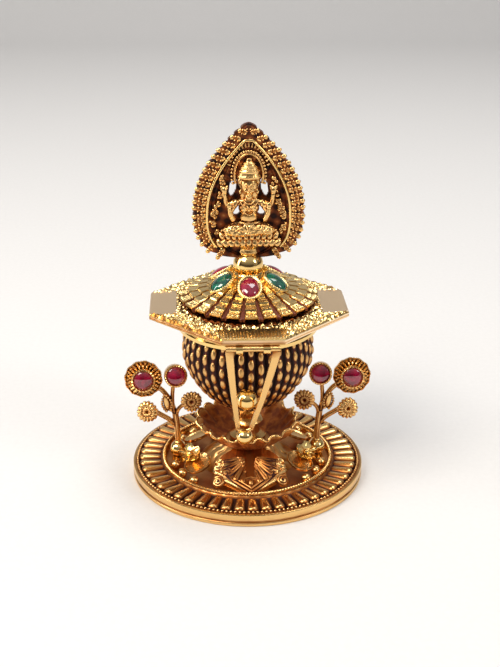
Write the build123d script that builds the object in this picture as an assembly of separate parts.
from build123d import *
from math import sin, cos, tan, pi, radians, sqrt, atan2, degrees
import os

os.makedirs("parts", exist_ok=True)

# All sizes are in millimetres, +Z is up and the front of the box faces -Y.

# Cast round base
base_radius = 22.5
base_rim_height = 2.5
base_wall = 0.5
base_foot_width = 1.2
base_groove_z = 0.95
base_groove_depth = 0.35
base_bead_width = 0.9

# Ring of gadroons on the base
gadroon_count = 52
gadroon_outer_radius = 20.6
gadroon_inner_radius = 16.9
gadroon_tip_radius = 1.12
gadroon_tail_radius = 0.86
gadroon_slope_rise = 0.5
well_radius = 16.0
well_floor_z = 2.0

# Twisted wire laid round the well, and grains soldered inside it
rope_radius = 16.35
rope_section = 0.32
grain_ring_radius = 14.6
grain_radius = 0.95
grain_angles = (47.0, 61.5, 75.5)

# Central mound that carries the leaves and the cup
mound_radius = 9.4
mound_hub_radius = 4.6
mound_hub_z = 6.6
mound_wall = 0.55

# Front and back palmette leaves
palmette_tip_radius = 16.0
palmette_half_width = 7.1
palmette_wide_at = 9.6
palmette_root_at = 3.6
palmette_tip_z = 2.9
palmette_slope = 20.0
palmette_thickness = 0.8
palmette_border = 0.75
palmette_relief = 0.4
palmette_drop_radius = 1.0
scroll_angle = 30.0
scroll_ring_radius = 13.3
scroll_radius = 1.25
scroll_height = 1.5

# Four round petals beside the palmettes
petal_x = 9.7
petal_y = 5.6
petal_radius = 2.7
petal_crown = 1.3

# Ruffled cup under the bowl
cup_foot_radius = 4.2
cup_rim_radius = 9.5
cup_rim_z = 11.0
cup_wall = 0.5
cup_waves = 18
cup_wave_depth = 0.75

# Neck between cup and bowl
neck_radius = 2.1
neck_bead_radius = 3.0
neck_top_radius = 3.4

# Bowl of staves
bowl_radius = 12.3
bowl_centre_z = 25.75
bowl_wall = 0.5
bowl_staves = 42
bowl_tiers = 8
bowl_pole_radius = 2.2
bowl_lip_z = 30.6

# Collar that opens from the round bowl to the eight-sided mouth
collar_ring_radius = 13.2
collar_ring_height = 0.8
collar_half = 17.2
collar_corner = 5.2
collar_flange = 0.45
collar_wall = 0.5
collar_lid_gap = 0.1

# Eight-sided lid
lid_top_z = 34.9
lid_thickness = 1.05
lid_sheet = 0.5
lid_rim_width = 2.1
lid_half = 18.35
lid_corner = 5.58
lid_edge_groove = 0.2
lid_edge_groove_height = 0.22
panel_depth = 5.0
panel_raise = 0.14
rib_count = 22
rib_length = 3.6
rib_height = 0.14

# Stacked sun disc on the lid
sun_radius = 13.0
sun_edge_z = 36.15
sun_edge_height = 0.55
sun_inner_radius = 4.5
sun_rise = 3.1
sun_tiers = 4
sun_tier_step = 0.28
sun_columns = 24
sun_slit = 0.3
sun_slit_depth = 0.32
sun_scallop = 0.6
under_disc_radius = 12.3
under_disc_height = 0.45
under_riser_radius = 9.6
under_riser_width = 0.7

# Stone settings on the sun disc
stone_ring_radius = 5.75
stone_tilt = 32.0
stone_height = 0.55
stone_long = 2.25
stone_short = 1.75
stone_crown = 1.05
collet_wall = 0.42
collet_depth = 2.2
collet_lip = 0.35

# Finial below the plaque
hub_radius = 2.95
hub_top_z = 41.6
ball_radius = 2.8
ball_centre_z = 42.5

# Drop-shaped plaque
plaque_bottom_z = 44.5
plaque_wide_z = 52.7
plaque_top_z = 68.0
plaque_half_width = 9.55
plaque_thickness = 1.2
plaque_teeth_above = 15
plaque_teeth_below = 10
plaque_tooth_depth = 0.6
plaque_band = 2.3
keel_wire_width = 0.55
keel_wire_raise = 0.5
inner_sheet_recess = 0.4

# Seated figure
head_radius = 1.25
head_z = 57.4
crown_height = 3.4
crown_radius = 1.2
shoulder_z = 54.9
shoulder_half = 2.6
waist_z = 52.0
waist_half = 1.15
seat_z = 50.3
figure_depth = 1.0
arm_radius = 0.42
hand_x = 3.9
hand_z = 52.6

# Lotus seat below the figure
lotus_half_width = 5.4
lotus_top_z = 50.3
lotus_petals = 9
lotus_petal_height = 2.2
lotus_depth = 1.3

# Swinging latch at the front
hasp_half_width = 4.15
hasp_bar_radius = 0.45
hasp_pivot_drop = 0.6
hasp_ball_radius = 1.5
hasp_ball_y = -14.4
hasp_ball_z = 14.2
hasp_ball_shift = -1.3
hasp_foot_spread = 1.2
hasp_strip_width = 1.05
hasp_strip_thickness = 0.6
hasp_lug_x = 2.4
hasp_lug_width = 1.2
hasp_lug_wall = 0.38
hasp_running_gap = 0.06

# Catch knob on the bowl
knob_radius = 1.95
knob_y = -13.9
knob_z = 21.4
knob_shift = -0.9
knob_peg_radius = 0.9

# Hinge at the back
hinge_knuckle_radius = 0.9
hinge_pin_radius = 0.4
hinge_running_gap = 0.05
hinge_side_gap = 0.12
hinge_knuckle_length = 2.6
hinge_edge_gap = 0.15
hinge_leaf_height = 0.5

# Flower sprays on both sides
spray_foot_x = 13.6
spray_foot_z = 4.4
spray_ball_radius = 1.6
spray_pad_radius = 1.25
stem_radius = 0.48
big_flower_at = (20.0, -0.6, 19.8)
big_flower_radius = 3.75
big_flower_petals = 12
flower_thickness = 0.6
ruby_radius = 1.75
ruby_crown = 1.1
ruby_collet_radius = 2.4
ruby_collet_depth = 1.5
tube_at = (13.9, -1.3, 20.7)
tube_radius = 2.15
tube_depth = 2.6
inner_flower_at = (10.9, -1.0, 15.0)
outer_flower_at = (19.4, -0.8, 12.9)
small_flower_radius = 2.1
small_flower_petals = 8
small_grain_radius = 0.75
shell_radius = 1.9
shell_at = (11.3, -3.2, 3.9)
leaf_at = (15.7, -0.6, 14.6)
leaf_length = 3.6
leaf_width = 1.5
leaf_grains = 4

# Shared places worked out from the sizes above
lid_under_z = lid_top_z - lid_thickness
collar_top_z = lid_under_z - collar_lid_gap
gadroon_rim_z = base_rim_height + 0.05
gadroon_inner_z = gadroon_rim_z + gadroon_slope_rise
hinge_y = lid_half + hinge_knuckle_radius + hinge_edge_gap
hinge_z = lid_under_z - 0.05
hasp_pivot_y = -lid_half
hasp_pivot_z = lid_under_z - hasp_pivot_drop
sun_inner_z = sun_edge_z + sun_edge_height + sun_rise
sun_slope = sun_rise / (sun_radius - sun_inner_radius)


def save(name, shape):
    export_step(shape, f"parts/{name}.step")


def corners(radius, sides, z):
    return [Vector(radius * cos(2 * pi * k / sides), radius * sin(2 * pi * k / sides), z) for k in range(sides)]


def plane_face(points):
    return Face(Wire.make_polygon(points, close=True))


def skin(rings, split=False):
    # Closed flat-faced body over rings of points, with the first and last ring as its ends
    faces = [plane_face(rings[0]), plane_face(rings[-1])]
    for low, high in zip(rings, rings[1:]):
        for k in range(len(low)):
            n = (k + 1) % len(low)
            if split:
                faces += [plane_face([low[k], low[n], high[n]]), plane_face([low[k], high[n], high[k]])]
            else:
                faces.append(plane_face([low[k], low[n], high[n], high[k]]))
    return Solid(Shell(faces))


def lathe(points, sides):
    # Flat-sided turning: the profile is a closed loop of radius and height
    faces = []
    for (r0, z0), (r1, z1) in zip(points, points[1:] + points[:1]):
        low, high = corners(r0, sides, z0), corners(r1, sides, z1)
        for k in range(sides):
            n = (k + 1) % sides
            loop = ([low[k], low[n]] if r0 > 0 else [low[k]]) + ([high[n], high[k]] if r1 > 0 else [high[k]])
            if len(loop) > 2:
                faces.append(plane_face(loop))
    return Solid(Shell(faces))


def ruled_stack(levels, sides):
    # Flat-sided body through regular polygons, each level a radius and a height
    return skin([corners(r, sides, z) for r, z in levels])


def oval_face(half_x, half_y, sides=14):
    steps = [2 * pi * k / sides for k in range(sides)]
    return make_face(Polyline(*[(half_x * cos(a), half_y * sin(a)) for a in steps], close=True))


def dome(radius, height, sides=12, tiers=3):
    steps = [radians(78 * k / tiers) for k in range(tiers + 1)]
    return ruled_stack([(radius * cos(a), height * sin(a)) for a in steps], sides)


def bead(radius, sides=12, tiers=6):
    steps = [radians(-75 + 150 * k / tiers) for k in range(tiers + 1)]
    return ruled_stack([(radius * cos(a), radius * sin(a)) for a in steps], sides)


def egg(half_x, half_y, half_z, sides=12, tiers=8):
    steps = [radians(-75 + 150 * k / tiers) for k in range(tiers + 1)]
    return skin([[Vector(p.X * half_x, p.Y * half_y, half_z * sin(a)) for p in corners(cos(a), sides, 0)] for a in steps])


def oval_stack(levels, sides=16):
    # Flat-faced body through ovals, each level a height and two half-widths
    return skin([[Vector(p.X * a, p.Y * b, z) for p in corners(1, sides, 0)] for z, a, b in levels], split=True)


def main_solid(shape):
    return max(shape.solids(), key=lambda piece: piece.volume)


def main_solids(shape, least=0.5):
    return Compound([piece for piece in shape.solids() if piece.volume > least])


def relief(shape):
    # What stands in front of the plaque's inner sheet
    front = -plaque_thickness / 2 + inner_sheet_recess
    return main_solid(shape & Pos(0, front, 55) * Box(40, 20, 60, align=(Align.CENTER, Align.MAX, Align.CENTER)))


def around(shape, count, start=0.0):
    return [Rot(0, 0, start + 360 * k / count) * shape for k in range(count)]


def scalloped(radius, lobes, depth):
    # Outline of equal rounded lobes, each of four short straights
    points = []
    for k in range(4 * lobes):
        reach = radius - depth * (0, 0.22, 1, 0.22)[k % 4]
        a = pi * k / (2 * lobes)
        points.append((reach * cos(a), reach * sin(a)))
    return make_face(Polyline(*points, close=True))


def octagon(half, corner, z):
    points = [(half, corner), (corner, half), (-corner, half), (-half, corner),
              (-half, -corner), (-corner, -half), (corner, -half), (half, -corner)]
    return Plane.XY.offset(z) * make_face(Polyline(*points, close=True))


def mouth_angles(half, corner, parts=3):
    # Directions of an octagon's corners and middles, each span cut into equal parts
    turn = atan2(corner, half)
    stops = [q * pi / 2 + t for q in range(4) for t in (0, turn, pi / 4, pi / 2 - turn)] + [2 * pi]
    return [a + (b - a) * k / parts for a, b in zip(stops, stops[1:]) for k in range(parts)]


def funnel_body(radius, low, half, corner, high):
    angles = mouth_angles(half, corner)

    def flat_sided(a):
        x, y = abs(cos(a)), abs(sin(a))
        return min(half / max(x, 1e-9), half / max(y, 1e-9), (half + corner) / (x + y))

    bottom = [Vector(radius * cos(a), radius * sin(a), low) for a in angles]
    top = [Vector(flat_sided(a) * cos(a), flat_sided(a) * sin(a), high) for a in angles]
    return skin([bottom, top], split=True)


def facing(at, direction):
    return Plane(origin=at, z_dir=direction)


def both_sides(name, shape):
    save(f"{name}_right", shape)
    save(f"{name}_left", mirror(shape, about=Plane.YZ))


# Base plate with its rounded rim, gadroons and recessed well
def make_base_plate():
    inner = base_radius - base_foot_width
    lip = base_radius - base_bead_width
    under = gadroon_rim_z - base_wall
    plate = lathe([
        (inner, 0), (base_radius - 0.25, 0), (base_radius, 0.25),
        (base_radius, base_groove_z - 0.2), (base_radius - base_groove_depth, base_groove_z),
        (base_radius, base_groove_z + 0.2), (base_radius, base_rim_height - 0.45),
        (base_radius - 0.25, base_rim_height - 0.1), (lip, base_rim_height),
        (gadroon_inner_radius, gadroon_inner_z), (well_radius + 2 * rope_section, gadroon_inner_z - 0.1),
        (well_radius, gadroon_inner_z - 0.1),
        (well_radius, well_floor_z), (0, well_floor_z), (0, well_floor_z - base_wall),
        (well_radius, well_floor_z - base_wall), (inner, under - 0.4)], 2 * gadroon_count)
    run = gadroon_outer_radius - gadroon_inner_radius
    tilt = degrees(atan2(gadroon_slope_rise, lip - gadroon_inner_radius))
    flute = ruled_stack([(0.55 * gadroon_tip_radius, -0.62 * gadroon_tip_radius), (0.9 * gadroon_tip_radius,
                        -0.3 * gadroon_tip_radius), (gadroon_tip_radius, 0.1), (gadroon_tail_radius, run)], 12)
    flute = Pos(gadroon_outer_radius, 0, gadroon_rim_z - 0.15) * Rot(0, -90 + tilt, 0) * Rot(0, 0, 15) * flute
    return plate + around(flute, gadroon_count)


def make_rope():
    seat = gadroon_inner_z - 0.1
    inner, outer = well_radius, well_radius + 2 * rope_section
    chamfer = 0.6 * rope_section
    return lathe([
        (inner, seat), (inner - 0.1, seat + chamfer), (inner + chamfer, seat + 1.7 * rope_section),
        (outer - chamfer, seat + 1.7 * rope_section), (outer, seat + chamfer), (outer, seat)], 2 * gadroon_count)


def make_grains():
    grain = Pos(grain_ring_radius, 0, well_floor_z + 0.75 * grain_radius) * bead(grain_radius, 10, 4)
    grain = grain - Pos(0, 0, well_floor_z - 2) * Box(60, 60, 4)
    grains = []
    for side in (-90, 90):
        for angle in grain_angles:
            grains += [Rot(0, 0, side + angle) * grain, Rot(0, 0, side - angle) * grain]
    return Compound(grains)


def make_mound():
    outer = lathe([
        (0, well_floor_z), (mound_radius, well_floor_z), (mound_radius, well_floor_z + 0.5),
        (mound_hub_radius + 1.6, mound_hub_z - 1.9), (mound_hub_radius, mound_hub_z - 1.3),
        (mound_hub_radius, mound_hub_z), (0, mound_hub_z)], 48)
    hollow = lathe([
        (0, well_floor_z), (mound_radius - mound_wall, well_floor_z),
        (mound_hub_radius + 0.6, mound_hub_z - 1.9 - mound_wall),
        (mound_hub_radius - mound_wall, mound_hub_z - mound_wall), (0, mound_hub_z - mound_wall)], 48)
    return outer - hollow


# Palmette leaf: a spade outline with a raised border, a drop and fanned lobes
def spade(grow=0.0):
    wide, tip, root = palmette_half_width + grow, palmette_tip_radius + 1.6 * grow, palmette_root_at - grow

    curve = Spline((0, tip), (0.34 * wide, tip - 2.2), (wide, palmette_wide_at), (0.72 * wide, root),
                   tangents=((0.35, -1), (-0.5, -1)))
    right = [curve @ (k / 12) for k in range(13)]
    left = [(-p.X, p.Y) for p in right[:0:-1]]
    return make_face(Polyline(*[(p.X, p.Y) for p in right], *left, close=True))


def make_palmette(blockers):
    body = extrude(spade(), palmette_thickness)
    border = extrude(spade() - spade(-palmette_border), palmette_relief)
    drop = Pos(0, palmette_tip_radius - 3.6, 0) * dome(palmette_drop_radius, 2.2 * palmette_relief, 10, 2)
    body += Pos(0, 0, palmette_thickness) * border
    body += Pos(0, 0, palmette_thickness) * drop
    lobe = extrude(oval_face(0.75, 2.0, 12), palmette_relief)
    for k in range(-2, 3):
        lift = Pos(0, palmette_root_at + 1.2, palmette_thickness)
        body += lift * Rot(0, 0, -27 * k) * Pos(0, 4.1, 0) * lobe
    low = palmette_tip_z - palmette_thickness
    body = Pos(0, palmette_tip_radius, low) * Rot(-palmette_slope, 0, 0) * Pos(0, -palmette_tip_radius, 0) * body
    for side in (-1, 1):
        scroll = lathe([
            (0, 0), (scroll_radius, 0), (scroll_radius, scroll_height), (0.62 * scroll_radius, scroll_height),
            (0.5 * scroll_radius, scroll_height - 0.4), (0.3 * scroll_radius, scroll_height - 0.4),
            (0.2 * scroll_radius, scroll_height + 0.1), (0, scroll_height + 0.1)], 16)
        body += Rot(0, 0, side * scroll_angle) * Pos(0, scroll_ring_radius, well_floor_z) * scroll
    keep = Pos(0, 0, well_floor_z) * Box(60, 60, 12, align=(Align.CENTER, Align.CENTER, Align.MIN))
    return (body & keep) - blockers


def make_petal(mound, palmettes):
    cap = dome(petal_radius, petal_crown, 16, 3)
    stalk = Pos(0, 0, -3) * extrude(RegularPolygon(0.55 * petal_radius, 12), 3)
    vein = Pos(0, 0, petal_crown) * extrude(RegularPolygon(0.45, 10), 0.35)
    petal = Pos(petal_x, petal_y, well_floor_z + 1.5) * Rot(0, 14, 0) * (cap + stalk + vein)
    keep = Pos(petal_x, petal_y, well_floor_z) * Box(9, 9, 9, align=(Align.CENTER, Align.CENTER, Align.MIN))
    return main_solid((petal & keep) - mound - palmettes)


# Ruffled cup: wavy closed curves lofted outside and inside
def wavy(radius, depth, z):
    points = []
    for k in range(4 * cup_waves):
        a = pi * k / (2 * cup_waves)
        reach = radius + depth * (0.5, 0.12, -0.5, 0.12)[k % 4]
        points.append(Vector(reach * cos(a), reach * sin(a), z))
    return points


def cup_body(foot, low, high):
    # Each share is how far the wall has opened, risen and begun to wave
    shares = ((0, 0, 0), (0.35, 0.42, 0.35), (0.72, 0.8, 0.7), (1, 1, 1))
    reach = cup_rim_radius - cup_foot_radius
    return skin([wavy(foot + reach * r, cup_wave_depth * d, low + (high - low) * z) for r, z, d in shares], split=True)


def make_cup():
    outer = cup_body(cup_foot_radius, mound_hub_z, cup_rim_z)
    return outer - cup_body(cup_foot_radius - cup_wall, mound_hub_z + cup_wall, cup_rim_z + 0.05)


def make_neck(bowl_solid):
    low = mound_hub_z + cup_wall
    top = bowl_centre_z - bowl_radius + 0.8
    mid = (low + top) / 2
    neck = lathe([
        (0, low), (neck_top_radius - 0.2, low), (neck_top_radius - 0.2, low + 0.5), (neck_radius, low + 1.2),
        (neck_radius, mid - 0.5), (neck_bead_radius, mid), (neck_radius, mid + 0.5),
        (neck_radius, top - 1.7), (neck_top_radius, top - 0.6), (neck_top_radius, top), (0, top)], 24)
    return neck - bowl_solid


# Bowl of flat staves, open at the top
def bowl_levels(radius, centre_z, lip_z):
    low = sqrt(radius ** 2 - bowl_pole_radius ** 2)
    start = atan2(-low, bowl_pole_radius)
    levels = []
    for k in range(bowl_tiers):
        a = start * (1 - k / (bowl_tiers - 1))
        levels.append((radius * cos(a), centre_z + radius * sin(a)))
    return levels + [(radius, lip_z)]


def bowl_body(radius, lip_z):
    return ruled_stack(bowl_levels(radius, bowl_centre_z, lip_z), bowl_staves)


def make_collar(bowl_solid):
    low = bowl_lip_z
    ring = lathe([
        (bowl_radius - bowl_wall, low), (collar_ring_radius - 0.2, low), (collar_ring_radius, low + 0.2),
        (collar_ring_radius, low + collar_ring_height - 0.2), (collar_ring_radius - 0.2, low + collar_ring_height),
        (bowl_radius - bowl_wall, low + collar_ring_height)], 84)
    start = low + collar_ring_height
    flange_z = collar_top_z - collar_flange
    funnel = funnel_body(collar_ring_radius - 0.3, start, collar_half, collar_corner, flange_z)
    funnel += extrude(octagon(collar_half, collar_corner, flange_z), collar_flange)
    inner, corner = collar_half - collar_wall, collar_corner - 0.3
    hollow = funnel_body(bowl_radius - bowl_wall, start, inner, corner, flange_z)
    hollow += extrude(octagon(inner, corner, flange_z), collar_flange)
    return ring + (funnel - hollow)


def hinge_barrel(length, bore):
    barrel = Rot(0, 90, 0) * (Cylinder(hinge_knuckle_radius, length) - Cylinder(bore, length + 1))
    return Pos(0, hinge_y, hinge_z) * barrel


def make_fixed_knuckle():
    length = hinge_knuckle_length
    leaf_top = collar_top_z
    reach = hinge_y - collar_half
    leaf = Pos(0, collar_half + reach / 2, leaf_top - hinge_leaf_height / 2) * Box(length, reach, hinge_leaf_height)
    core = Pos(0, hinge_y, hinge_z) * Rot(0, 90, 0) * Cylinder(hinge_pin_radius, length + 1)
    return hinge_barrel(length, hinge_pin_radius) + (leaf - core)


def make_lid_knuckles():
    pieces = []
    for side in (-1, 1):
        x = side * (hinge_knuckle_length + hinge_side_gap)
        reach = hinge_y - lid_half
        leaf = Pos(0, lid_half + reach / 2, lid_under_z + 0.35) * Box(hinge_knuckle_length, reach, 0.7)
        core = Pos(0, hinge_y, hinge_z) * Rot(0, 90, 0) * Cylinder(hinge_pin_radius + hinge_running_gap, 9)
        pieces.append(Pos(x, 0, 0) * (hinge_barrel(hinge_knuckle_length, hinge_pin_radius + hinge_running_gap)
                                      + (leaf - core)))
    return Compound(pieces)


def make_hinge_pin():
    length = 3 * hinge_knuckle_length + 2 * hinge_side_gap + 0.8
    return Pos(0, hinge_y, hinge_z) * Rot(0, 90, 0) * Cylinder(hinge_pin_radius, length)


# Lid plate with grooved edge, four smooth panels and the ribbed front
def make_lid_plate():
    third = (lid_thickness - lid_edge_groove_height) / 2
    low = extrude(octagon(lid_half, lid_corner, lid_under_z), third)
    waist = octagon(lid_half - lid_edge_groove, lid_corner, lid_under_z + third)
    waist = extrude(waist, lid_edge_groove_height)
    top = extrude(octagon(lid_half, lid_corner, lid_top_z - third), third)
    plate = low + waist + top
    inset = lid_half - lid_rim_width
    plate -= extrude(octagon(inset, lid_corner - 0.9, lid_under_z), lid_thickness - lid_sheet)
    panel = Box(2 * lid_corner, panel_depth, panel_raise, align=(Align.CENTER, Align.MIN, Align.MIN))
    for turn in (0, 90, 180, 270):
        plate += Rot(0, 0, turn) * Pos(0, -lid_half, lid_top_z) * panel
    pitch = 2 * lid_corner / rib_count
    rib = Box(pitch / 2, rib_length, rib_height, align=(Align.CENTER, Align.MIN, Align.MIN))
    ribs = [Pos(-lid_corner + pitch * (k + 0.5), -lid_half, lid_top_z + panel_raise) * rib for k in range(rib_count)]
    return plate + ribs + [Rot(0, 0, 180) * r for r in ribs]


def sun_under(radius):
    return sun_edge_z + (sun_radius - radius) * sun_slope


def make_under_disc():
    edge = under_riser_radius
    inner = edge - under_riser_width
    disc = extrude(Plane.XY.offset(lid_top_z) * scalloped(under_disc_radius, sun_columns, sun_scallop), under_disc_height)
    riser = lathe([(inner, lid_top_z), (edge, lid_top_z), (edge, sun_under(edge)), (inner, sun_under(inner))], 48)
    hole = Pos(0, 0, lid_top_z) * Cylinder(inner, 9)
    return disc + riser - hole


def sun_levels():
    levels = []
    width = (sun_radius - sun_inner_radius) / sun_tiers
    for k in range(sun_tiers):
        outer, inner = sun_radius - k * width, sun_radius - (k + 1) * width
        levels.append((outer, sun_under(outer) + sun_edge_height))
        levels.append((inner + 0.02, sun_under(inner) + sun_edge_height - (sun_tier_step if k < sun_tiers - 1 else 0)))
    return levels


def sun_block():
    # Everything below the disc's upper face, to seat the settings on
    spread = 1 / cos(pi / sun_columns)
    levels = [(sun_radius, lid_top_z)] + sun_levels()
    return Rot(0, 0, 180 / sun_columns) * ruled_stack([(r * spread, z) for r, z in levels], sun_columns)


def make_sun_disc():
    hollow = lathe([
        (0, lid_top_z - 1), (sun_radius + 2, lid_top_z - 1), (sun_radius + 2, sun_under(sun_radius + 2)),
        (sun_inner_radius, sun_under(sun_inner_radius)), (0, sun_under(sun_inner_radius))], 48)
    outline = extrude(Plane.XY.offset(sun_edge_z - 1) * scalloped(sun_radius, sun_columns, sun_scallop), 9)
    length = sun_radius - sun_inner_radius
    slit = Box(length + 1, sun_slit, 2, align=(Align.MIN, Align.CENTER, Align.MIN))
    tilt = degrees(atan2(sun_rise, length))
    slit = Pos(sun_inner_radius + 0.6, 0, sun_inner_z - sun_slit_depth) * Rot(0, tilt, 0) * slit
    return (sun_block() & outline) - hollow - around(slit, sun_columns, 180 / sun_columns)


# Oval stone settings, tipped outwards, alternating two kinds of stone
def oval(grow, z):
    return Plane.XY.offset(z) * oval_face(stone_short + grow, stone_long + grow, 16)


def stone_plane(angle):
    a = radians(angle - 90)
    z = sun_under(stone_ring_radius) + sun_edge_height + stone_height
    out = (sin(radians(stone_tilt)) * cos(a), sin(radians(stone_tilt)) * sin(a), cos(radians(stone_tilt)))
    along = (-sin(a), cos(a), 0)
    return Plane(origin=(stone_ring_radius * cos(a), stone_ring_radius * sin(a), z), x_dir=along, z_dir=out)


def make_collet(angle):
    cup = extrude(oval(collet_wall, -collet_depth), collet_depth + collet_lip)
    cup -= extrude(oval(0, -0.5 * stone_crown), 3)
    return stone_plane(angle) * cup


def make_stone(angle):
    rings = []
    for share, z in ((1.0, -0.5), (1.0, 0.1), (0.86, 0.55), (0.55, 0.9), (0.2, 1.05)):
        steps = [2 * pi * k / 16 for k in range(16)]
        rings.append([Vector(stone_short * share * cos(t), stone_long * share * sin(t), z * stone_crown) for t in steps])
    return stone_plane(angle) * skin(rings)


def make_hub(ball):
    low = sun_inner_z
    hub = lathe([
        (0, low), (hub_radius, low), (hub_radius, low + 0.35), (hub_radius - 0.2, low + 0.5),
        (hub_radius - 0.2, hub_top_z - 0.4), (hub_radius, hub_top_z - 0.25), (hub_radius, hub_top_z), (0, hub_top_z)], 32)
    return hub - ball


# Plaque outline: a pointed drop; grow moves the whole edge outwards
def drop_points(grow, upper, lower):
    # Point counts are per side, above and below the widest place
    high = plaque_top_z + 1.5 * grow - plaque_wide_z
    low, reach = plaque_wide_z - plaque_bottom_z + grow, plaque_half_width + grow
    right = []
    for k in range(upper):
        h = 1 - k / upper
        right.append((reach * (1 - h ** 2.05), plaque_wide_z + high * h))
    for k in range(lower):
        b = pi / 2 * k / lower
        right.append((reach * cos(b) ** (2 / 2.6), plaque_wide_z - low * sin(b) ** (2 / 2.6)))
    left = [(-x, z) for x, z in right[1:]]
    return right + [(0, plaque_wide_z - low)] + left[::-1]


def upright(points):
    return Plane.XZ * make_face(Polyline(*points, close=True))


def slab(face, front, back):
    # Upright plate from y = -front to y = back
    return Pos(0, back, 0) * extrude(face, front + back)


def make_plaque(ball):
    upper, lower = 2 * plaque_teeth_above, 2 * plaque_teeth_below
    outer, inner = drop_points(plaque_tooth_depth, upper, lower), drop_points(0, upper, lower)
    teeth = [outer[k] if k % 2 == 0 else inner[k] for k in range(len(outer))]
    half = plaque_thickness / 2
    body = slab(upright(teeth), half, half)
    keel = upright(drop_points(-plaque_band, 14, 10))
    pocket = Pos(0, -half + inner_sheet_recess, 0) * extrude(keel, 3)
    body -= pocket
    for side in (-1, 1):
        upper = Plane.XZ * Pos(side * 2.55, head_z - 0.6) * Rot(0, 0, side * 24) * oval_face(0.62, 1.75)
        lower = Plane.XZ * Pos(side * 2.25, waist_z + 0.65) * oval_face(0.78, 1.25)
        body -= slab(upper, 3, 3) + slab(lower, 3, 3)
    return body - ball


def make_keel_wire():
    face = upright(drop_points(-plaque_band, 14, 10)) - upright(drop_points(-plaque_band - keel_wire_width, 14, 10))
    front = plaque_thickness / 2
    low = -front + inner_sheet_recess
    return Pos(0, low, 0) * extrude(face, inner_sheet_recess + keel_wire_raise)


# Seated figure, kept plain and calm, with a tall crown and drapery
def limb(start, end, radius):
    a, b = Vector(*start), Vector(*end)
    return Plane(origin=a, z_dir=b - a) * extrude(RegularPolygon(radius, 8), (b - a).length)


def make_figure(blockers):
    front = -plaque_thickness / 2
    y = front + inner_sheet_recess - 0.05
    head = Pos(0, y, head_z) * egg(0.86 * head_radius, 0.8 * head_radius, 1.12 * head_radius)
    hair = Pos(0, y + 0.1, head_z - 0.3) * Rot(90, 0, 0) * extrude(oval_face(1.55, 1.75, 16), 0.35, both=True)
    crown_low = head_z + 0.75 * head_radius
    crown = Pos(0, y, crown_low) * ruled_stack([
        (crown_radius, 0), (crown_radius + 0.1, 0.5), (0.85 * crown_radius, 0.55),
        (0.8 * crown_radius, 0.55 * crown_height), (0.4 * crown_radius, 0.85 * crown_height), (0.12, crown_height)], 12)
    neck = Pos(0, y, shoulder_z - 0.2) * Cylinder(0.5, head_z - shoulder_z, align=(Align.CENTER, Align.CENTER, Align.MIN))
    levels = [(seat_z, 1.9, 0.9), (waist_z - 0.6, 1.35, 0.75), (waist_z + 0.4, waist_half, 0.62),
              (shoulder_z - 1.2, 1.6, 0.85), (shoulder_z, shoulder_half * 0.8, 0.6), (shoulder_z + 0.35, 0.6, 0.4)]
    torso = Pos(0, y, 0) * oval_stack([(z, a, b * figure_depth) for z, a, b in levels])
    body = head + hair + crown + neck + torso
    for side in (-1, 1):
        elbow = (side * (shoulder_half + 0.6), y, shoulder_z - 1.6)
        body += limb((side * (shoulder_half - 0.9), y, shoulder_z - 0.15), elbow, arm_radius)
        body += limb(elbow, (side * hand_x, y - 0.2, hand_z), arm_radius * 0.9)
        body += Pos(*elbow) * bead(arm_radius * 1.05, 8, 4)
        body += Pos(side * hand_x, y - 0.25, hand_z - 0.3) * bead(0.75, 10, 4)
    knees = Pos(0, y, 0) * oval_stack([(seat_z, 4.3, 1.1), (seat_z + 0.7, 4.1, 1.15), (seat_z + 1.5, 2.2, 0.8)])
    return relief((body + knees) - blockers)


def make_halo(blockers):
    # Arched garland over the crown
    top = head_z + 4.4
    arc = ThreePointArc((-2.9, head_z + 1.9), (0, top), (2.9, head_z + 1.9))
    inner = ThreePointArc((2.3, head_z + 1.8), (0, top - 0.65), (-2.3, head_z + 1.8))
    face = Plane.XZ * make_face([arc, Line(arc @ 1, inner @ 0), inner, Line(inner @ 1, arc @ 0)])
    low = -plaque_thickness / 2 + inner_sheet_recess
    return Pos(0, low, 0) * extrude(face, 0.6) - blockers


def make_lotus(blockers):
    low = lotus_top_z - lotus_petal_height
    y = -plaque_thickness / 2 + inner_sheet_recess
    seat = Pos(0, y, 0) * oval_stack([
        (low - 1.0, lotus_half_width * 0.55, lotus_depth * 0.5), (low, lotus_half_width * 0.9, lotus_depth * 0.8),
        (lotus_top_z, lotus_half_width, lotus_depth)])
    petal = extrude(oval_face(0.52, lotus_petal_height * 0.55, 10), 0.35)
    for k in range(lotus_petals):
        t = (k - (lotus_petals - 1) / 2) / (lotus_petals / 2)
        x = t * lotus_half_width * 0.95
        out = lotus_depth * sqrt(max(0.05, 1 - t * t)) * 0.92
        place = Plane(origin=(x, y - out + 0.15, low + 1.0), x_dir=(1, 0, 0), z_dir=(0.55 * t, -1, -0.1))
        seat += place * petal
    return relief(seat - blockers)


# Hasp: two strips hung on a bar, joined above a ball
def hasp_plane():
    dy, dz = hasp_ball_y - hasp_pivot_y, hasp_ball_z - hasp_pivot_z
    length = sqrt(dy * dy + dz * dz)
    return Plane(origin=(0, hasp_pivot_y, hasp_pivot_z), x_dir=(1, 0, 0), z_dir=(0, -dz / length, dy / length)), length


def strip(start, end, half_start, half_end, thickness):
    points = [(start[0] - half_start, start[1]), (start[0] + half_start, start[1]),
              (end[0] + half_end, end[1]), (end[0] - half_end, end[1])]
    return extrude(make_face(Polyline(*points, close=True)), thickness / 2, both=True)


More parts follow.
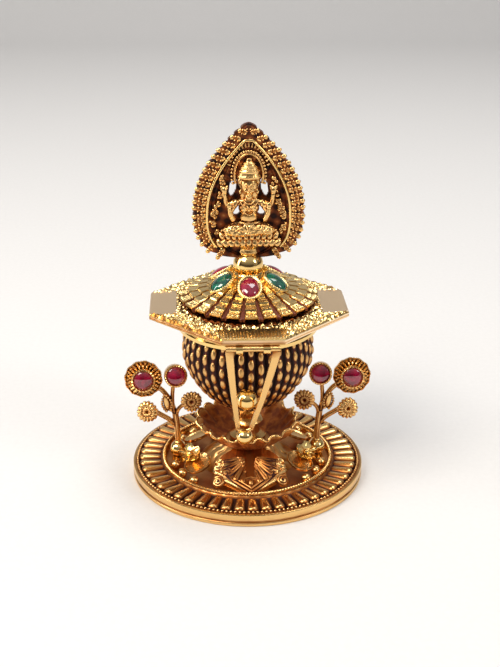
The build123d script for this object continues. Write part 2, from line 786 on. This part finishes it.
def make_hasp_frame(hasp_ball):
    plane, length = hasp_plane()
    foot = length - hasp_ball_radius - 0.25
    wide = hasp_strip_width / 2
    body = None
    for side in (-1, 1):
        end = (hasp_ball_shift + side * hasp_foot_spread, foot)
        leg = strip((side * hasp_half_width, 0), end, wide, 0.75 * wide, hasp_strip_thickness)
        body = leg if body is None else body + leg
    body += strip((hasp_ball_shift, foot - 0.35), (hasp_ball_shift, foot + 0.3), hasp_foot_spread + 0.3,
                  hasp_foot_spread + 0.1, hasp_strip_thickness)
    body += Pos(hasp_ball_shift, foot + 0.3, 0) * Rot(-90, 0, 0) * Cylinder(0.9, 0.6)
    body += Rot(0, 90, 0) * Cylinder(hasp_bar_radius, 2 * hasp_half_width + hasp_strip_width)
    return plane * body - hasp_ball


def make_hasp_ball():
    return Pos(hasp_ball_shift, hasp_ball_y, hasp_ball_z) * bead(hasp_ball_radius, 18, 9)


def make_hasp_lugs():
    bore = hasp_bar_radius + hasp_running_gap
    ring = Rot(0, 90, 0) * (Cylinder(bore + hasp_lug_wall, hasp_lug_width) - Cylinder(bore, hasp_lug_width + 1))
    rise = hasp_pivot_drop
    post = Pos(0, 0, rise / 2) * Box(hasp_lug_width, 1.0, rise) - Rot(0, 90, 0) * Cylinder(bore, hasp_lug_width + 1)
    lug = Pos(0, hasp_pivot_y, hasp_pivot_z) * (ring + post)
    lug = lug & Pos(0, 0, lid_under_z) * Box(50, 50, 20, align=(Align.CENTER, Align.CENTER, Align.MAX))
    return Compound([Pos(-hasp_lug_x, 0, 0) * lug, Pos(hasp_lug_x, 0, 0) * lug])


def make_knob(bowl_solid):
    at = (knob_shift, knob_y, knob_z)
    back = bowl_centre_z - knob_z
    away = (0, -knob_y - 9, back * 0.4)
    peg = Plane(origin=at, z_dir=away) * Cylinder(knob_peg_radius, 3.5, align=(Align.CENTER, Align.CENTER, Align.MIN))
    return Pos(*at) * bead(knob_radius, 20, 10) + peg - bowl_solid


# Flower sprays: each piece of the right-hand one is mirrored for the left
def flower(radius, petals, thickness):
    disc = extrude(scalloped(radius, petals, radius * 0.13), thickness)
    boss = Pos(0, 0, thickness) * dome(radius * 0.5, 0.35 * radius, 12, 2)
    return disc, boss


spray_front = (0, -1, 0.12)


def make_big_flower():
    disc, _ = flower(big_flower_radius, big_flower_petals, flower_thickness)
    collar = Pos(0, 0, flower_thickness) * (
        extrude(scalloped(ruby_collet_radius, 16, 0.22), ruby_collet_depth) - Pos(0, 0, 0.6) * Cylinder(
            ruby_radius, ruby_collet_depth, align=(Align.CENTER, Align.CENTER, Align.MIN)))
    return facing(big_flower_at, spray_front) * (disc + collar)


def make_big_ruby():
    lift = flower_thickness + 0.6
    gem = extrude(RegularPolygon(ruby_radius, 12), ruby_collet_depth - 0.6) + Pos(
        0, 0, ruby_collet_depth - 0.6) * dome(ruby_radius, ruby_crown, 12, 3)
    return facing(big_flower_at, spray_front) * Pos(0, 0, lift) * gem


tube_front = (-0.12, -1, 0.3)


def make_tube():
    tube = extrude(scalloped(tube_radius, 14, 0.2), tube_depth)
    tube -= Pos(0, 0, 0.6) * Cylinder(ruby_radius - 0.05, tube_depth, align=(Align.CENTER, Align.CENTER, Align.MIN))
    return facing(tube_at, tube_front) * tube


def make_tube_ruby():
    gem = extrude(RegularPolygon(ruby_radius - 0.05, 12), tube_depth - 0.8) + Pos(
        0, 0, tube_depth - 0.8) * dome(ruby_radius - 0.05, ruby_crown, 12, 3)
    return facing(tube_at, tube_front) * Pos(0, 0, 0.6) * gem


def make_small_flower(at):
    disc, boss = flower(small_flower_radius, small_flower_petals, flower_thickness)
    return facing(at, spray_front) * (disc + boss)


def make_leaf():
    half = ThreePointArc((0, 0), (leaf_width / 2, leaf_length / 2), (0, leaf_length))
    other = ThreePointArc((0, leaf_length), (-leaf_width / 2, leaf_length / 2), (0, 0))
    body = extrude(make_face([half, other]), 0.5)
    for k in range(leaf_grains):
        body += Pos(0, leaf_length * (k + 0.8) / (leaf_grains + 0.6), 0.5) * dome(0.42, 0.4, 8, 2)
    return Plane(origin=leaf_at, x_dir=(0.9, 0, -0.4), z_dir=(0, -1, 0)) * Rot(0, 0, 8) * body


def wire(points, radius):
    path = Spline(*points)
    section = Plane(origin=path @ 0, z_dir=path % 0) * RegularPolygon(radius, 6)
    return sweep(section, path=path)


def behind(at, direction, reach):
    v = Vector(*direction).normalized()
    return (at[0] - v.X * reach, at[1] - v.Y * reach, at[2] - v.Z * reach)


def make_stems(blockers):
    r = stem_radius
    foot_top = spray_foot_z + spray_ball_radius - 0.3
    fork = (14.1, 0.3, 12.0)
    reach = -0.2
    main = wire([(spray_foot_x, 0.2, foot_top), (13.7, 0.4, 8.8), fork, (14.2, 0.5, 17.0),
                 behind(tube_at, tube_front, reach)], r)
    big = wire([fork, (15.4, 0.4, 15.2), (17.6, 0.5, 17.6), behind(big_flower_at, spray_front, reach)], r)
    out = wire([(13.75, 0.4, 9.0), (15.6, 0.5, 9.9), (17.6, 0.4, 11.6), behind(outer_flower_at, spray_front, reach)], r)
    low = wire([(13.7, 0.4, 8.2), (15.9, 0.5, 9.0), (18.4, 0.4, 11.0), behind(outer_flower_at, spray_front, reach)], r)
    inn = wire([(13.9, 0.35, 10.6), (12.9, 0.3, 12.2), (11.6, 0.2, 13.6), behind(inner_flower_at, spray_front, reach)], r)
    twig = wire([(14.2, 0.4, 13.0), (15.0, 0.3, 13.8), (leaf_at[0], leaf_at[1] + 0.3, leaf_at[2] + 0.3)], 0.8 * r)
    return main + big + out + low + inn + twig - blockers


def make_foot(stems):
    at = Pos(spray_foot_x, 0, spray_foot_z)
    foot = at * bead(spray_ball_radius, 16, 8)
    pad_height = spray_foot_z - well_floor_z
    foot += Pos(spray_foot_x, 0, well_floor_z) * Cylinder(
        spray_pad_radius, pad_height, align=(Align.CENTER, Align.CENTER, Align.MIN))
    collar = Pos(spray_foot_x, 0, spray_foot_z + spray_ball_radius - 0.35)
    foot += collar * Cylinder(0.9, 0.5, align=(Align.CENTER, Align.CENTER, Align.MIN))
    return foot


def make_shell(blockers):
    # Small half-open blossom beside the foot
    cup = dome(shell_radius, 1.7, 12, 3) - Pos(0, 0, -0.4) * dome(shell_radius - 0.35, 1.7, 12, 3)
    cup = Rot(180, 0, 0) * cup
    cup = Pos(shell_at[0], shell_at[1], shell_at[2] + 1.3) * Rot(38, 18, 0) * cup
    foot = Pos(shell_at[0], shell_at[1], well_floor_z) * Cylinder(
        0.6, shell_at[2] - well_floor_z, align=(Align.CENTER, Align.CENTER, Align.MIN))
    return cup + foot - blockers


base = make_base_plate()
save("base_plate", base)
rope = make_rope()
save("rope_ring", rope)
save("base_grains", make_grains())
mound = make_mound()
save("mound", mound)
cup = make_cup()
save("ruffled_cup", cup)
palmette_back = main_solids(make_palmette(mound + rope + cup) - base)
palmette_front = Rot(0, 0, 180) * palmette_back
save("palmette_front", palmette_front)
save("palmette_back", palmette_back)
both = palmette_front + palmette_back
petal = make_petal(mound, both)
petals = [petal, mirror(petal, about=Plane.YZ), mirror(petal, about=Plane.XZ), Rot(0, 0, 180) * petal]
save("round_petals", Compound(petals))

bowl_outer = bowl_body(bowl_radius, bowl_lip_z)
bowl = bowl_outer - bowl_body(bowl_radius - bowl_wall, bowl_lip_z + 0.01)
save("bowl", bowl)
save("neck", make_neck(bowl_outer))
save("collar", make_collar(bowl_outer))
save("hinge_knuckle_fixed", make_fixed_knuckle())
save("hinge_pin", make_hinge_pin())
save("hinge_knuckles_lid", make_lid_knuckles())

save("lid_plate", make_lid_plate())
save("under_disc", make_under_disc())
sun_disc = make_sun_disc()
save("sun_disc", sun_disc)
ball = Pos(0, 0, ball_centre_z) * bead(ball_radius, 24, 12)
hub = make_hub(ball)
save("finial_hub", hub)
save("finial_ball", ball)
block = sun_block()
collets = [make_collet(60 * k) - block - hub for k in range(6)]
save("stone_collets", Compound(collets))
save("ruby_stones", Compound([make_stone(a) - block for a in (0, 120, 240)]))
save("green_stones", Compound([make_stone(a) - block for a in (60, 180, 300)]))
keel = make_keel_wire()
plaque = make_plaque(ball)
save("plaque", plaque)
save("keel_wire", keel)
lotus = make_lotus(plaque + keel)
save("lotus_seat", lotus)
halo = make_halo(plaque + keel)
figure = make_figure(plaque + keel + lotus + halo)
save("seated_figure", figure)
save("halo_arch", halo)

hasp_ball = make_hasp_ball()
save("hasp_ball", hasp_ball)
save("hasp_frame", make_hasp_frame(hasp_ball))
save("hasp_lugs", make_hasp_lugs())
save("catch_knob", make_knob(bowl_outer))

big_flower, tube = make_big_flower(), make_tube()
inner_flower, outer_flower = make_small_flower(inner_flower_at), make_small_flower(outer_flower_at)
leaf = make_leaf()
foot = make_foot(None)
stems = make_stems(big_flower + tube + inner_flower + outer_flower + leaf + foot)
both_sides("spray_foot", foot)
both_sides("spray_stems", stems)
both_sides("big_flower", big_flower)
both_sides("big_ruby", make_big_ruby())
both_sides("tube_setting", tube)
both_sides("tube_ruby", make_tube_ruby())
both_sides("inner_flower", inner_flower)
both_sides("outer_flower", outer_flower)
both_sides("bead_leaf", leaf)
both_sides("shell_blossom", make_shell(both + mound + foot + petals[0] + petals[2]))
